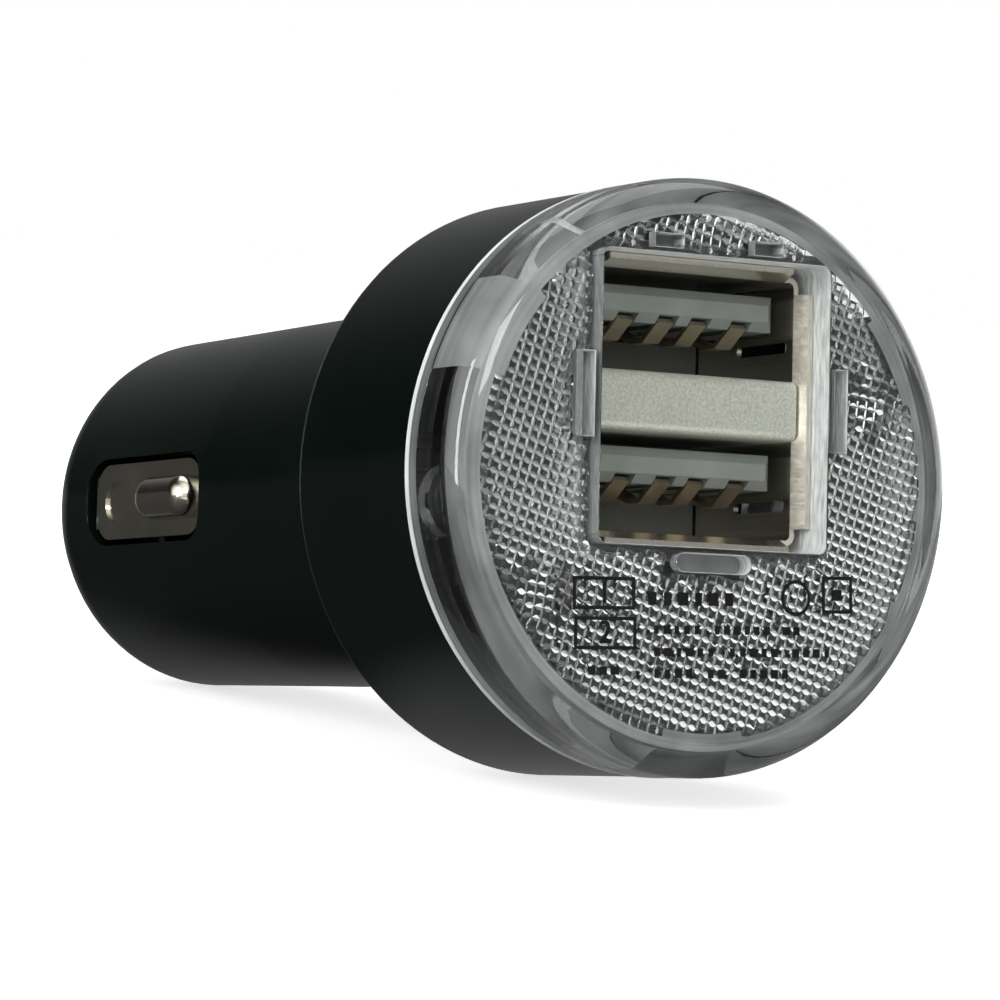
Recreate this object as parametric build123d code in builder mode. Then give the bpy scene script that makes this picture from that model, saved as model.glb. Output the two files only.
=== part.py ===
from build123d import *
from math import cos, pi, sqrt
import os

os.makedirs("parts", exist_ok=True)

# Car USB charger plug. Millimetres, the plug's axis along Y with the tip towards +Y,
# the two ports stacked along Z, and the origin on the axis at the shoulder of the head.

# Barrel that goes into the socket
barrel_dia = 20.8
barrel_straight = 18.8
barrel_length = 38.4
barrel_wall = 1.6
tail_dia = 20.4
tail_wall = 2.2
tail_edge_radius = 3.0

# Head behind the lens
head_dia = 30.4
head_length = 11.2
head_wall = 1.2
head_edge_radius = 0.8
shoulder_wall = 1.8

# Clear lens cap, its port window and its snap hooks
lens_proud = 0.05
lens_depth = 5.1
lens_edge_radius = 1.8
lens_wall = 1.5
lens_face = 1.3
lens_seam_chamfer = 0.2
window_clearance = 0.45
window_corner = 0.5
well_wall = 0.55
well_depth = 4.0
hook_count = 3
hook_start_angle = 30
hook_width = 4.4
hook_thickness = 0.85
hook_length = 3.4
hook_barb = 0.55
hook_barb_length = 1.0
hook_clearance = 0.15
eye_spacing = 6.1
eye_width = 1.8
eye_height = 0.75
eye_gap = 0.2
pill_width = 4.6
pill_height = 1.0
pill_gap = 0.25
notch_width = 0.8
notch_height = 4.3
notch_gap = 0.35
recess_depth = 1.0

# Stacked twin receptacle
port_width = 12.5
port_height = 5.12
port_pitch = 8.2
port_depth = 9.5
sheet = 0.3
shell_corner = 0.6
stack_rise = 3.75
shell_recess = 1.5
shell_rear_gap = 0.3
lip_length = 0.8
lip_flare = 0.38
lip_corner_gap = 0.9
divider_recess = 0.4
divider_bend = 0.45
tongue_width = 11.1
tongue_thickness = 1.84
tongue_back_gap = 0.72
tongue_recess = 1.4
tongue_chamfer = 0.5
tongue_corner = 0.45
block_side_gap = 0.1
tail_room = 1.5
slot_setback = 1.35
shell_slot_length = 4.5
shell_slot_height = 0.55
shell_slot_drop = 0.73
peg_setback = 1.6
peg_spacing = 6.5
peg_width = 1.2
peg_reach = 0.8

# Receptacle contacts
inner_pin_spacing = 2.0
outer_pin_spacing = 7.0
pin_width = 1.0
pin_sheet = 0.25
pin_inset = 0.2
pin_bump_drop = 0.95
pin_bump_setback = 2.6
pin_bump_half = 1.5
pin_tip_setback = 0.5
pin_row_step = 0.55
pin_clearance = 0.12
pin_reach = 0.5

# Circuit board
board_thickness = 1.2
board_head_width = 20.0
board_gap = 0.3
board_side_gap = 0.3
rib_grip = 0.5
rib_thickness = 0.7
rib_clearance = 0.1
rib_bite = 0.35

# Sprung tip contact
tip_dia = 7.0
tip_reach = 6.0
tip_nose_radius = 3.0
tip_clearance = 0.08
tip_travel = 3.0
flange_dia = 9.4
flange_thickness = 1.2
stop_gap = 0.05
spring_radius = 2.4
spring_wire = 0.6
spring_turns = 5.5
spring_length = 8.0
spring_guide_gap = 0.2
spring_guide_length = 1.6
seat_sheet = 0.5
seat_width = 6.6
seat_foot = 3.0
seat_boss_length = 0.8

# Sprung side contacts
slot_centre = 26.0
slot_length = 13.8
slot_width = 5.0
slot_corner = 2.0
slot_side_gap = 0.35
slot_end_gap = 0.6
strip_recess = 0.55
strip_sheet = 0.4
dome_length = 5.8
dome_width = 2.4
dome_height = 1.35
dome_round = 1.0
dome_sheet = 0.6
dome_end_gap = 0.35
panel_length = 5.4
panel_width = 2.3
panel_depth = 0.15
leg_width = 3.0
foot_length = 2.6
foot_gap = 0.25
foot_inset = 0.2

# Board components
component_gap = 0.6
inductor_dia = 8.0
inductor_height = 5.5
inductor_waist = 4.0
inductor_flange = 1.1
winding_dia = 7.4
winding_gap = 0.05
capacitor_gap = 0.8
input_capacitor_dia = 6.3
input_capacitor_height = 7.7
output_capacitor_dia = 5.0
output_capacitor_height = 7.0
capacitor_edge = 0.5
capacitor_base = 1.0
chip_length = 4.9
chip_width = 3.9
chip_height = 1.5
chip_lead_pitch = 1.27
chip_lead_width = 0.42
chip_lead_sheet = 0.2
chip_lead_reach = 1.05
diode_x = 4.9
diode_length = 4.3
diode_width = 2.6
diode_height = 2.2
resistor_length = 2.0
resistor_width = 1.25
resistor_height = 0.5
resistor_pitch = 2.4
resistor_x = -4.4
led_dia = 3.0
led_flange_dia = 3.8
led_flange = 1.0
led_length = 5.2
led_side_gap = 0.4
led_lead = 0.5
led_lead_spacing = 1.4
led_seat_gap = 0.05

# Stations along the axis
face_y = -(head_length + lens_depth)
seam_y = -head_length
shell_front = face_y + shell_recess
shell_rear = -shoulder_wall - shell_rear_gap
block_front = shell_front + port_depth
block_rear = shell_rear - tail_room
tongue_front = shell_front + tongue_recess
well_rear = face_y + well_depth
board_front = well_rear + board_gap
flange_stop = barrel_length - tail_wall
flange_face = flange_stop - stop_gap - flange_thickness
board_rear = flange_face - tip_travel - board_gap - stop_gap
seat_face = flange_face - spring_length
slot_front = slot_centre - slot_length / 2
strip_front = slot_front + slot_end_gap
strip_rear = slot_centre + slot_length / 2 - slot_end_gap

# Components in a row along the board, from the spring seat towards the head
chip_y = seat_face - seat_sheet - seat_foot - component_gap - chip_length / 2
capacitor_y = chip_y - chip_length / 2 - component_gap - input_capacitor_dia / 2
inductor_y = capacitor_y - input_capacitor_dia / 2 - component_gap - inductor_dia / 2

# Radii and heights
barrel_r = barrel_dia / 2
bore_r = barrel_r - barrel_wall
head_r = head_dia / 2
cup_r = head_r - head_wall
lens_r = head_r + lens_proud
lens_inner_r = lens_r - lens_wall
divider_height = port_pitch - port_height
shell_width = port_width + 2 * sheet
stack_height = 2 * port_height + divider_height
shell_height = stack_height + 2 * sheet
window_width = shell_width + 2 * window_clearance
window_height = shell_height + 2 * window_clearance
board_top = stack_rise - shell_height / 2
board_bottom = board_top - board_thickness
board_barrel_half = sqrt(bore_r**2 - board_bottom**2) - board_side_gap
upper_port_z = stack_rise + port_pitch / 2
lower_port_z = stack_rise - port_pitch / 2
strip_x = barrel_r - strip_recess
pin_places = [-outer_pin_spacing / 2, -inner_pin_spacing / 2, inner_pin_spacing / 2, outer_pin_spacing / 2]


def across(y):
    # Plane square to the axis at station y, with X across and Z up
    return Plane.XZ.offset(-y)


def save(part, name):
    part.label = name
    export_step(part, f"parts/{name}.step")


# Housing: barrel and head cup moulded in one piece
with BuildPart() as housing:
    with BuildSketch(Plane.XY):
        with BuildLine():
            tail_r = tail_dia / 2
            corner = tail_edge_radius * (1 - cos(pi / 4))
            Polyline(
                (0, barrel_length),
                (tail_r - tail_edge_radius, barrel_length),
            )
            ThreePointArc(
                (tail_r - tail_edge_radius, barrel_length),
                (tail_r - corner, barrel_length - corner),
                (tail_r, barrel_length - tail_edge_radius),
            )
            Polyline(
                (tail_r, barrel_length - tail_edge_radius),
                (barrel_r, barrel_straight),
                (barrel_r, 0),
                (head_r, 0),
                (head_r, seam_y),
                (cup_r, seam_y),
                (cup_r, -shoulder_wall),
                (bore_r, -shoulder_wall),
                (bore_r, flange_stop),
                (0, flange_stop),
                (0, barrel_length),
            )
        make_face()
    revolve(axis=Axis.Y)
    rear_edge = housing.edges().filter_by(GeomType.CIRCLE).filter_by(lambda e: abs(e.radius - head_r) < 0.01)
    fillet(rear_edge.sort_by(Axis.Y)[-1], head_edge_radius)
    # Hole that guides the tip
    with BuildSketch(across(barrel_length)):
        Circle(tip_dia / 2 + tip_clearance)
    extrude(amount=2 * tail_wall, both=True, mode=Mode.SUBTRACT)
    # Openings for the two side contacts
    with BuildSketch(Plane(origin=(0, slot_centre, 0), x_dir=(0, 1, 0), z_dir=(1, 0, 0))):
        RectangleRounded(slot_length, slot_width, slot_corner)
    extrude(amount=barrel_dia, both=True, mode=Mode.SUBTRACT)
    # Pockets behind the seam that the lens hooks snap into
    with BuildSketch(across(seam_y + hook_length + hook_clearance)):
        with PolarLocations(cup_r, hook_count, hook_start_angle):
            Rectangle(2 * head_wall, hook_width + 2 * hook_clearance)
        Circle(cup_r + hook_barb, mode=Mode.INTERSECT)
        Circle(cup_r - head_wall, mode=Mode.SUBTRACT)
    extrude(amount=hook_barb_length + 2 * hook_clearance, mode=Mode.SUBTRACT)
    # Ribs that grip the board's edges
    for side in (-1, 1):
        for rib_z, rib_end in (
            (board_top + rib_clearance + rib_thickness / 2, slot_front - slot_end_gap),
            (board_bottom - rib_clearance - rib_thickness / 2, board_rear),
        ):
            rib_root = sqrt(bore_r**2 - rib_z**2) + rib_bite
            rib_tip = board_barrel_half - rib_grip
            with BuildSketch(across(0)):
                with Locations((side * (rib_root + rib_tip) / 2, rib_z)):
                    Rectangle(rib_root - rib_tip, rib_thickness)
            extrude(amount=-rib_end)
save(housing.part, "housing")

# Lens cap: rounded clear cup with a walled window for the ports and three snap hooks
with BuildPart() as lens_cap:
    with BuildSketch(Plane.XY):
        with BuildLine():
            bend = lens_edge_radius * (1 - cos(pi / 4))
            Line((0, face_y), (lens_r - lens_edge_radius, face_y))
            ThreePointArc(
                (lens_r - lens_edge_radius, face_y),
                (lens_r - bend, face_y + bend),
                (lens_r, face_y + lens_edge_radius),
            )
            Polyline(
                (lens_r, face_y + lens_edge_radius),
                (lens_r, seam_y - lens_seam_chamfer),
                (lens_r - lens_seam_chamfer, seam_y),
                (lens_inner_r, seam_y),
                (lens_inner_r, face_y + lens_face),
                (0, face_y + lens_face),
                (0, face_y),
            )
        make_face()
    revolve(axis=Axis.Y)
    # Walls of the port well
    with BuildSketch(across(face_y + lens_face / 2)):
        with Locations((0, stack_rise)):
            Rectangle(window_width + 2 * well_wall, window_height + 2 * well_wall)
        Circle(lens_inner_r + lens_wall / 2, mode=Mode.INTERSECT)
    extrude(amount=-(well_depth - lens_face / 2))
    with BuildSketch(across(face_y)):
        with Locations((0, stack_rise)):
            RectangleRounded(window_width, window_height, window_corner)
    extrude(amount=2 * well_depth, both=True, mode=Mode.SUBTRACT)
    # Blind recesses in the face: two eyes above the window, a pill below it and a notch at each side
    with BuildSketch(across(face_y)):
        with Locations((0, stack_rise + window_height / 2 + eye_gap + eye_height / 2)):
            with GridLocations(eye_spacing, 1, 2, 1):
                SlotOverall(eye_width, eye_height)
        with Locations((0, stack_rise - window_height / 2 - pill_gap - pill_height / 2)):
            SlotOverall(pill_width, pill_height)
        with Locations((0, stack_rise)):
            with GridLocations(window_width + 2 * notch_gap + notch_width, 1, 2, 1):
                Rectangle(notch_width, notch_height)
    extrude(amount=-recess_depth, mode=Mode.SUBTRACT)
    # Snap hooks with their barbs
    hook_r = cup_r - hook_clearance
    with BuildSketch(across(face_y + lens_face / 2)):
        with PolarLocations(hook_r - hook_thickness / 2, hook_count, hook_start_angle):
            Rectangle(2 * hook_thickness, hook_width)
        Circle(hook_r, mode=Mode.INTERSECT)
        Circle(hook_r - hook_thickness, mode=Mode.SUBTRACT)
    extrude(amount=-(lens_depth - lens_face / 2 + hook_length))
    with BuildSketch(across(seam_y + hook_length)):
        with PolarLocations(hook_r, hook_count, hook_start_angle):
            Rectangle(2 * hook_thickness, hook_width)
        Circle(hook_r + hook_barb - hook_clearance, mode=Mode.INTERSECT)
        Circle(hook_r - hook_thickness / 2, mode=Mode.SUBTRACT)
    extrude(amount=hook_barb_length)
save(lens_cap.part, "lens_cap")

# Receptacle shell: folded sheet open at the front, with flared lips and pegs through the board
with BuildPart() as usb_shell:
    body_front = shell_front + lip_length
    with BuildSketch(across(body_front)):
        with Locations((0, stack_rise)):
            RectangleRounded(shell_width, shell_height, shell_corner)
            RectangleRounded(port_width, stack_height, shell_corner - sheet, mode=Mode.SUBTRACT)
    extrude(amount=-(shell_rear - body_front))
    # Flared lips on all four sides
    for edge_z, turn in ((shell_height / 2, 1), (-shell_height / 2, -1)):
        with BuildSketch(Plane.YZ):
            with BuildLine():
                Polyline(
                    (body_front, stack_rise + edge_z),
                    (shell_front, stack_rise + edge_z + turn * lip_flare),
                    (shell_front, stack_rise + edge_z + turn * (lip_flare - sheet)),
                    (body_front, stack_rise + edge_z - turn * sheet),
                    close=True,
                )
            make_face()
        extrude(amount=shell_width / 2 - lip_corner_gap, both=True)
    for side in (-1, 1):
        with BuildSketch(Plane.XY.offset(stack_rise)):
            with BuildLine():
                Polyline(
                    (side * shell_width / 2, body_front),
                    (side * (shell_width / 2 + lip_flare), shell_front),
                    (side * (shell_width / 2 + lip_flare - sheet), shell_front),
                    (side * (shell_width / 2 - sheet), body_front),
                    close=True,
                )
            make_face()
        extrude(amount=shell_height / 2 - lip_corner_gap, both=True)
    # Spring slots in the side walls, one beside each tongue
    slot_y = shell_front + slot_setback + shell_slot_length / 2
    with BuildSketch(Plane(origin=(0, slot_y, 0), x_dir=(0, 1, 0), z_dir=(1, 0, 0))):
        with Locations((0, upper_port_z - shell_slot_drop), (0, lower_port_z - shell_slot_drop)):
            SlotOverall(shell_slot_length, shell_slot_height)
    extrude(amount=shell_width, both=True, mode=Mode.SUBTRACT)
    # The floor stops short at the rear, where the contact tails go down to the board
    with BuildSketch(Plane.XY.offset(board_top)):
        with Locations((0, (block_rear + shell_rear) / 2)):
            Rectangle(port_width - 2 * shell_corner, shell_rear - block_rear + pin_width)
    extrude(amount=sheet, both=True, mode=Mode.SUBTRACT)
    # Four pegs that pass through the board
    peg_y = board_front + peg_setback + peg_spacing / 2
    with BuildSketch(Plane.XY.offset(board_top)):
        with Locations((0, peg_y)):
            with GridLocations(port_width + sheet, peg_spacing, 2, 2):
                Rectangle(sheet, peg_width)
    extrude(amount=-(board_thickness + peg_reach))
    with BuildSketch(Plane.XY.offset(board_top)):
        with Locations((0, peg_y)):
            with GridLocations(port_width + sheet, peg_spacing, 2, 2):
                Rectangle(sheet, peg_width)
    extrude(amount=shell_corner + sheet)
save(usb_shell.part, "usb_shell")

# Rear cover that closes the shell behind the contact tails
with BuildPart() as usb_rear_cover:
    with BuildSketch(across(shell_rear)):
        with Locations((0, stack_rise)):
            RectangleRounded(port_width, stack_height, shell_corner - sheet)
    extrude(amount=sheet)
save(usb_rear_cover.part, "usb_rear_cover")

# Divider: a strip folded into a U that forms the wall between the two ports
with BuildPart() as usb_divider:
    divider_front = shell_front + divider_recess
    divider_middle = (divider_front + block_front) / 2
    divider_length = block_front - divider_front
    with BuildSketch(Plane.YZ):
        with Locations((divider_middle, stack_rise)):
            Rectangle(divider_length, divider_height)
    extrude(amount=port_width / 2, both=True)
    fillet(usb_divider.edges().filter_by(Axis.X).group_by(Axis.Y)[0], divider_bend)
    with BuildSketch(Plane.YZ):
        with Locations((divider_middle + sheet, stack_rise)):
            Rectangle(divider_length, divider_height - 2 * sheet)
    extrude(amount=port_width, both=True, mode=Mode.SUBTRACT)
save(usb_divider.part, "usb_divider")

# Insulator: one moulding with a rear block, two tongues and a groove for each contact
tongue_top_offset = port_height / 2 - tongue_back_gap
pin_line_offset = tongue_top_offset - tongue_thickness + pin_inset
with BuildPart() as usb_insulator:
    with BuildSketch(across(block_front)):
        with Locations((0, stack_rise)):
            Rectangle(port_width - 2 * block_side_gap, stack_height - 2 * block_side_gap)
    extrude(amount=-(block_rear - block_front))
    for port_z in (upper_port_z, lower_port_z):
        with BuildSketch(across(tongue_front)):
            with Locations((0, port_z + tongue_top_offset - tongue_thickness / 2)):
                Rectangle(tongue_width, tongue_thickness)
        extrude(amount=-(block_front - tongue_front))
    corner_edges = usb_insulator.edges().filter_by(Axis.Z).filter_by(
        lambda e: abs(e.center().Y - tongue_front) < 0.01
    )
    chamfer(corner_edges, tongue_corner)
    nose_edges = usb_insulator.edges().filter_by(Axis.X).filter_by(
        lambda e: abs(e.center().Y - tongue_front) < 0.01
    )
    chamfer(nose_edges, tongue_chamfer)
    for port_z in (upper_port_z, lower_port_z):
        groove_top = port_z + pin_line_offset + pin_sheet / 2 + pin_clearance
        groove_depth = pin_sheet + 2 * pin_clearance + pin_inset
        with BuildSketch(across(tongue_front)):
            for pin_x in pin_places:
                with Locations((pin_x, groove_top - groove_depth / 2)):
                    Rectangle(pin_width + 2 * pin_clearance, groove_depth)
        extrude(amount=-(shell_rear - tongue_front), mode=Mode.SUBTRACT)
save(usb_insulator.part, "usb_insulator")

# Eight spring contacts: a bumped beam under the tongue, then a tail down through the board
pin_bottom = board_bottom - pin_reach
for row, port_z, tail_step in (("upper", upper_port_z, 1), ("lower", lower_port_z, 0)):
    pin_z = port_z + pin_line_offset
    tail_y = block_rear + pin_clearance + pin_sheet / 2 + tail_step * pin_row_step
    bump_y = tongue_front + pin_bump_setback
    for number, pin_x in enumerate(pin_places, start=1):
        with BuildPart() as usb_contact:
            with BuildSketch(Plane.YZ.offset(pin_x)):
                with BuildLine():
                    Polyline(
                        (tongue_front + pin_tip_setback, pin_z),
                        (bump_y - pin_bump_half / 2, pin_z - pin_bump_drop),
                        (bump_y + pin_bump_half / 4, pin_z - pin_bump_drop),
                        (bump_y + pin_bump_half * 2, pin_z),
                        (tail_y, pin_z),
                        (tail_y, pin_bottom),
                    )
                trace(line_width=pin_sheet)
            extrude(amount=pin_width / 2, both=True)
        save(usb_contact.part, f"{row}_contact_{number}")

# Circuit board: wide behind the lens, narrow in the barrel, with holes for pegs and contact tails
with BuildPart() as circuit_board:
    step_y = -shoulder_wall - board_gap
    with BuildSketch(Plane.XY.offset(board_top)):
        with Locations((0, (board_front + step_y) / 2)):
            Rectangle(board_head_width, step_y - board_front)
        with Locations((0, (board_front + board_rear) / 2)):
            Rectangle(2 * board_barrel_half, board_rear - board_front)
        with Locations((0, peg_y)):
            with GridLocations(port_width + sheet, peg_spacing, 2, 2):
                Rectangle(sheet + 2 * pin_clearance, peg_width + 2 * pin_clearance, mode=Mode.SUBTRACT)
        for tail_step in (0, 1):
            tail_y = block_rear + pin_clearance + pin_sheet / 2 + tail_step * pin_row_step
            for pin_x in pin_places:
                with Locations((pin_x, tail_y)):
                    Rectangle(pin_width + 2 * pin_clearance, pin_sheet + pin_clearance, mode=Mode.SUBTRACT)
    extrude(amount=-board_thickness)
save(circuit_board.part, "circuit_board")

# Tip contact: turned pin with a rounded nose, a stop flange and a spigot for the spring
tip_r = tip_dia / 2
tip_end = barrel_length + tip_reach
with BuildPart() as tip_contact:
    with BuildSketch(Plane.XY):
        with BuildLine():
            nose = tip_nose_radius * (1 - cos(pi / 4))
            spigot_r = spring_radius - spring_wire / 2 - spring_guide_gap
            Polyline(
                (0, tip_end),
                (tip_r - tip_nose_radius, tip_end),
            )
            ThreePointArc(
                (tip_r - tip_nose_radius, tip_end),
                (tip_r - nose, tip_end - nose),
                (tip_r, tip_end - tip_nose_radius),
            )
            Polyline(
                (tip_r, tip_end - tip_nose_radius),
                (tip_r, flange_face + flange_thickness),
                (flange_dia / 2, flange_face + flange_thickness),
                (flange_dia / 2, flange_face),
                (spigot_r, flange_face),
                (spigot_r, flange_face - spring_guide_length),
                (0, flange_face - spring_guide_length),
                (0, tip_end),
            )
        make_face()
    revolve(axis=Axis.Y)
save(tip_contact.part, "tip_contact")

# Coil spring between the tip's flange and its seat
with BuildPart() as tip_spring:
    coil_start = seat_face + stop_gap + spring_wire / 2
    coil_height = spring_length - 2 * stop_gap - spring_wire
    coil = Helix(
        coil_height / spring_turns, coil_height, spring_radius, center=(0, coil_start, 0), direction=(0, 1, 0)
    )
    with BuildLine():
        add(coil)
    with BuildSketch(Plane(origin=coil @ 0, z_dir=coil % 0)):
        Circle(spring_wire / 2)
    sweep(is_frenet=True)
save(tip_spring.part, "tip_spring")

# Spring seat: folded tab on the board with a boss that centres the spring
with BuildPart() as spring_seat:
    with BuildSketch(across(seat_face)):
        with BuildLine():
            half = seat_width / 2
            Polyline((half, 0), (half, board_top), (-half, board_top), (-half, 0))
            ThreePointArc((-half, 0), (0, half), (half, 0))
        make_face()
    extrude(amount=seat_sheet)
    with BuildSketch(Plane.XY.offset(board_top)):
        with Locations((0, seat_face - seat_sheet / 2 - seat_foot / 2)):
            Rectangle(seat_width, seat_foot + seat_sheet)
    extrude(amount=seat_sheet)
    with BuildSketch(across(seat_face)):
        Circle(spring_radius - spring_wire / 2 - spring_guide_gap)
    extrude(amount=-seat_boss_length)
save(spring_seat.part, "spring_seat")

# Side contacts: domed spring strips that stand out of the barrel's openings
strip_length = strip_rear - strip_front
strip_width = slot_width - 2 * slot_side_gap
dome_front = strip_front + dome_end_gap
dome_middle = dome_front + dome_length / 2
foot_x = board_barrel_half - foot_inset
for name, side in (("side_contact_left", -1), ("side_contact_right", 1)):
    with BuildPart() as side_contact:
        strip_plane = Plane(
            origin=(side * (strip_x - strip_sheet), slot_centre, 0), x_dir=(0, 1, 0), z_dir=(side, 0, 0)
        )
        with BuildSketch(strip_plane):
            with Locations((dome_middle - slot_centre, 0)):
                SlotOverall(dome_length, dome_width)
        extrude(amount=strip_sheet + dome_height)
        fillet(side_contact.faces().sort_by(Axis.X)[-1 if side > 0 else 0].edges(), dome_round)
        with BuildSketch(strip_plane):
            RectangleRounded(strip_length, strip_width, slot_corner - slot_side_gap)
        extrude(amount=strip_sheet)
        # The dome is pressed from the sheet, so it is hollow behind
        with BuildSketch(strip_plane):
            with Locations((dome_middle - slot_centre, 0)):
                SlotOverall(dome_length - 2 * dome_sheet, dome_width - 2 * dome_sheet)
        extrude(amount=strip_sheet + dome_height - dome_sheet, mode=Mode.SUBTRACT)
        # Pressed panel behind the dome
        panel_plane = Plane(
            origin=(side * strip_x, dome_front + dome_length, 0), x_dir=(0, 1, 0), z_dir=(side, 0, 0)
        )
        with BuildSketch(panel_plane):
            with Locations((panel_length / 2, 0)):
                SlotOverall(panel_length, panel_width)
        extrude(amount=-panel_depth, mode=Mode.SUBTRACT)
        # Leg into the barrel and foot beside the board's edge
        with BuildSketch(Plane.XY):
            with Locations((side * (strip_x + foot_x - strip_sheet) / 2, strip_rear - strip_sheet / 2)):
                Rectangle(strip_x - foot_x + strip_sheet, strip_sheet)
        extrude(amount=leg_width / 2, both=True)
        with BuildSketch(Plane.XY.offset(board_top + foot_gap)):
            with Locations((side * (foot_x - strip_sheet / 2), strip_rear - foot_length / 2)):
                Rectangle(strip_sheet, foot_length)
        extrude(amount=leg_width / 2 - board_top - foot_gap)
    save(side_contact.part, name)

# Drum inductor: core and winding
with BuildPart() as inductor_core:
    with BuildSketch(Plane.XZ.offset(-inductor_y)):
        with BuildLine():
            Polyline(
                (0, board_top),
                (inductor_dia / 2, board_top),
                (inductor_dia / 2, board_top + inductor_flange),
                (inductor_waist / 2, board_top + inductor_flange),
                (inductor_waist / 2, board_top + inductor_height - inductor_flange),
                (inductor_dia / 2, board_top + inductor_height - inductor_flange),
                (inductor_dia / 2, board_top + inductor_height),
                (0, board_top + inductor_height),
                close=True,
            )
        make_face()
    revolve(axis=Axis((0, inductor_y, 0), (0, 0, 1)))
save(inductor_core.part, "inductor_core")

with BuildPart() as inductor_winding:
    with BuildSketch(Plane.XY.offset(board_top + inductor_flange + winding_gap)):
        with Locations((0, inductor_y)):
            Circle(winding_dia / 2)
            Circle(inductor_waist / 2 + winding_gap, mode=Mode.SUBTRACT)
    extrude(amount=inductor_height - 2 * inductor_flange - 2 * winding_gap)
save(inductor_winding.part, "inductor_winding")

# Two electrolytic capacitors side by side, each a can with a crimped waist above its base
pair_width = input_capacitor_dia + capacitor_gap + output_capacitor_dia
input_x = (input_capacitor_dia - pair_width) / 2
output_x = (pair_width - output_capacitor_dia) / 2
for name, can_x, can_dia, can_height in (
    ("input_capacitor", input_x, input_capacitor_dia, input_capacitor_height),
    ("output_capacitor", output_x, output_capacitor_dia, output_capacitor_height),
):
    with BuildPart() as capacitor:
        with BuildSketch(Plane.XY.offset(board_top)):
            with Locations((can_x, capacitor_y)):
                Circle(can_dia / 2)
        extrude(amount=can_height)
        fillet(capacitor.edges().sort_by(Axis.Z)[-1], capacitor_edge)
        with BuildSketch(Plane.XY.offset(board_top + capacitor_base)):
            with Locations((can_x, capacitor_y)):
                Circle(can_dia / 2)
                Circle(can_dia / 2 - capacitor_edge / 2, mode=Mode.SUBTRACT)
        extrude(amount=capacitor_edge, mode=Mode.SUBTRACT)
    save(capacitor.part, name)

# Converter chip with its two rows of gull-wing leads
with BuildPart() as converter_chip:
    with BuildSketch(Plane.XY.offset(board_top + chip_lead_sheet)):
        with Locations((0, chip_y)):
            Rectangle(chip_width, chip_length)
    extrude(amount=chip_height)
    lead_z = board_top + chip_lead_sheet + chip_height / 2
    for side in (-1, 1):
        for lead in range(4):
            lead_y = chip_y + (lead - 1.5) * chip_lead_pitch
            with BuildSketch(Plane.XZ.offset(-lead_y)):
                with BuildLine():
                    Polyline(
                        (side * (chip_width / 2 - chip_lead_sheet), lead_z),
                        (side * (chip_width / 2 + chip_lead_reach / 2), lead_z),
                        (side * (chip_width / 2 + chip_lead_reach / 2), board_top + chip_lead_sheet / 2),
                        (side * (chip_width / 2 + chip_lead_reach), board_top + chip_lead_sheet / 2),
                    )
                trace(line_width=chip_lead_sheet)
            extrude(amount=chip_lead_width / 2, both=True)
save(converter_chip.part, "converter_chip")

# Rectifier diode
with BuildPart() as diode:
    with BuildSketch(Plane.XY.offset(board_top)):
        with Locations((diode_x, chip_y)):
            Rectangle(diode_width, diode_length)
    extrude(amount=diode_height)
    chamfer(diode.edges().filter_by(Axis.Y).group_by(Axis.Z)[-1], diode_height / 6)
save(diode.part, "diode")

# Row of three chip resistors
for number in (1, 2, 3):
    with BuildPart() as chip_resistor:
        with BuildSketch(Plane.XY.offset(board_top)):
            with Locations((resistor_x, chip_y + (number - 2) * resistor_pitch)):
                Rectangle(resistor_length, resistor_width)
        extrude(amount=resistor_height)
    save(chip_resistor.part, f"chip_resistor_{number}")

# Two indicator lamps that shine forward into the lens
led_z = board_top + led_flange_dia / 2 + led_seat_gap
led_front = board_front + board_gap
led_back = led_front + led_length
for name, side in (("indicator_led_left", -1), ("indicator_led_right", 1)):
    led_x = side * (shell_width / 2 + led_side_gap + led_flange_dia / 2)
    with BuildPart() as indicator_led:
        with BuildSketch(across(led_front + led_dia / 2)):
            with Locations((led_x, led_z)):
                Circle(led_dia / 2)
        extrude(amount=-(led_length - led_dia / 2))
        with Locations((led_x, led_front + led_dia / 2, led_z)):
            Sphere(led_dia / 2)
        with BuildSketch(across(led_back)):
            with Locations((led_x, led_z)):
                Circle(led_flange_dia / 2)
        extrude(amount=led_flange)
        for lead_x in (led_x - led_lead_spacing / 2, led_x + led_lead_spacing / 2):
            with BuildSketch(Plane.YZ.offset(lead_x)):
                with BuildLine():
                    Polyline(
                        (led_back - led_flange / 2, led_z),
                        (led_back + led_lead, led_z),
                        (led_back + led_lead, board_top),
                    )
                trace(line_width=led_lead)
            extrude(amount=led_lead / 2, both=True)
    save(indicator_led.part, name)
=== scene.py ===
import math
import random

import bmesh
import bpy
from mathutils import Matrix, Vector


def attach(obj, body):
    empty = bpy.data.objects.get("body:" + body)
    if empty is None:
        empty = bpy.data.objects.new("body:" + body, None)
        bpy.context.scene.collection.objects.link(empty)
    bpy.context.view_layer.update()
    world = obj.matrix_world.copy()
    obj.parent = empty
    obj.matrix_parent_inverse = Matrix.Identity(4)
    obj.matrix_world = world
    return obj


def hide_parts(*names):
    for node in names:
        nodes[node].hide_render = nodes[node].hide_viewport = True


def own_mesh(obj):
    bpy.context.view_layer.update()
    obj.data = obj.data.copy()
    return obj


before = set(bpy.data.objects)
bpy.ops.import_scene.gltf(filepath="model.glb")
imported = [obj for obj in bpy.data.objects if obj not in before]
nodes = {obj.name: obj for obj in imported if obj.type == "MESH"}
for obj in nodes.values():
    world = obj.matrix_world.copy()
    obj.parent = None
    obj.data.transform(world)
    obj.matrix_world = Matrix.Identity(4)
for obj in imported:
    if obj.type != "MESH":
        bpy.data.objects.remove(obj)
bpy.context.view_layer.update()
mm = 0.001
print("frame loaded:", len(nodes), "nodes")


# Small helpers for node trees

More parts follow.
